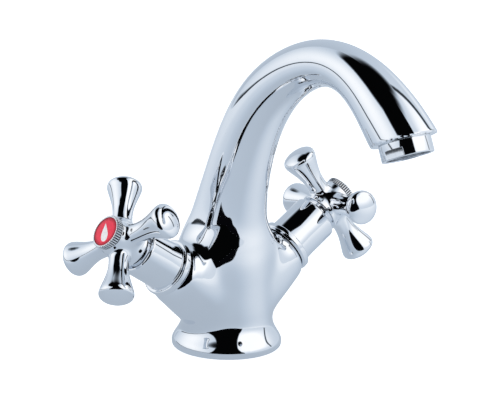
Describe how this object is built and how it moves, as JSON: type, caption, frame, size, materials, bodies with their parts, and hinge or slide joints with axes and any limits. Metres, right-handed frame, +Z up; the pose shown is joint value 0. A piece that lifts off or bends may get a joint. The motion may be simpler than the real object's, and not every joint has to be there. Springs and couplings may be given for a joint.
{
  "type": "bathroom mixer faucet",
  "caption": "Chrome deck-mounted basin mixer with a swan-neck spout, two upward-slanting horns with cross handles, and a screw-in aerator.",
  "frame": {"origin": "centre of the foot on the deck plane", "axes": "+Z up, -Y towards the spout's mouth, -X the hot side, +X the cold side"},
  "size_m": [0.1716, 0.1731, 0.1629],
  "materials": {
    "chrome": "polished chrome plate on brass",
    "brass": "turned brass",
    "seal": "matt rubber",
    "ceramic": "lapped white ceramic",
    "steel": "plain stainless steel",
    "insert": "moulded plastic",
    "hot_index": "glossy red",
    "cold_index": "glossy blue"
  },
  "bodies": {
    "mixer": {"body_casting": "chrome", "base_seal": "seal", "hot_seat_seal": "seal", "hot_fixed_disc": "ceramic", "hot_headwork": "brass", "hot_gasket": "seal", "hot_bonnet": "chrome", "cold_seat_seal": "seal", "cold_fixed_disc": "ceramic", "cold_headwork": "brass", "cold_gasket": "seal", "cold_bonnet": "chrome", "aerator_housing": "chrome", "aerator_washer": "seal", "aerator_insert": "insert", "aerator_screen": "steel"},
    "hot_handle_set": {"hot_moving_disc": "ceramic", "hot_stem": "brass", "hot_stem_o_rings": "seal", "hot_clip": "steel", "hot_handle": "chrome", "hot_handle_screw": "steel", "hot_index_ring": "chrome", "hot_index_disc": "hot_index"},
    "cold_handle_set": {"cold_moving_disc": "ceramic", "cold_stem": "brass", "cold_stem_o_rings": "seal", "cold_clip": "steel", "cold_handle": "chrome", "cold_handle_screw": "steel", "cold_index_ring": "chrome", "cold_index_disc": "cold_index"}
  },
  "joints": [
    {"name": "hot_handle_turn", "type": "hinge", "parent": "mixer", "child": "hot_handle_set", "pos_m": [-0.06374, 0, 0.06279], "axis": [-0.8387, 0, 0.5446], "range_deg": [0, 180]},
    {"name": "cold_handle_turn", "type": "hinge", "parent": "mixer", "child": "cold_handle_set", "pos_m": [0.06374, 0, 0.06279], "axis": [0.8387, 0, 0.5446], "range_deg": [0, 180]}
  ]
}
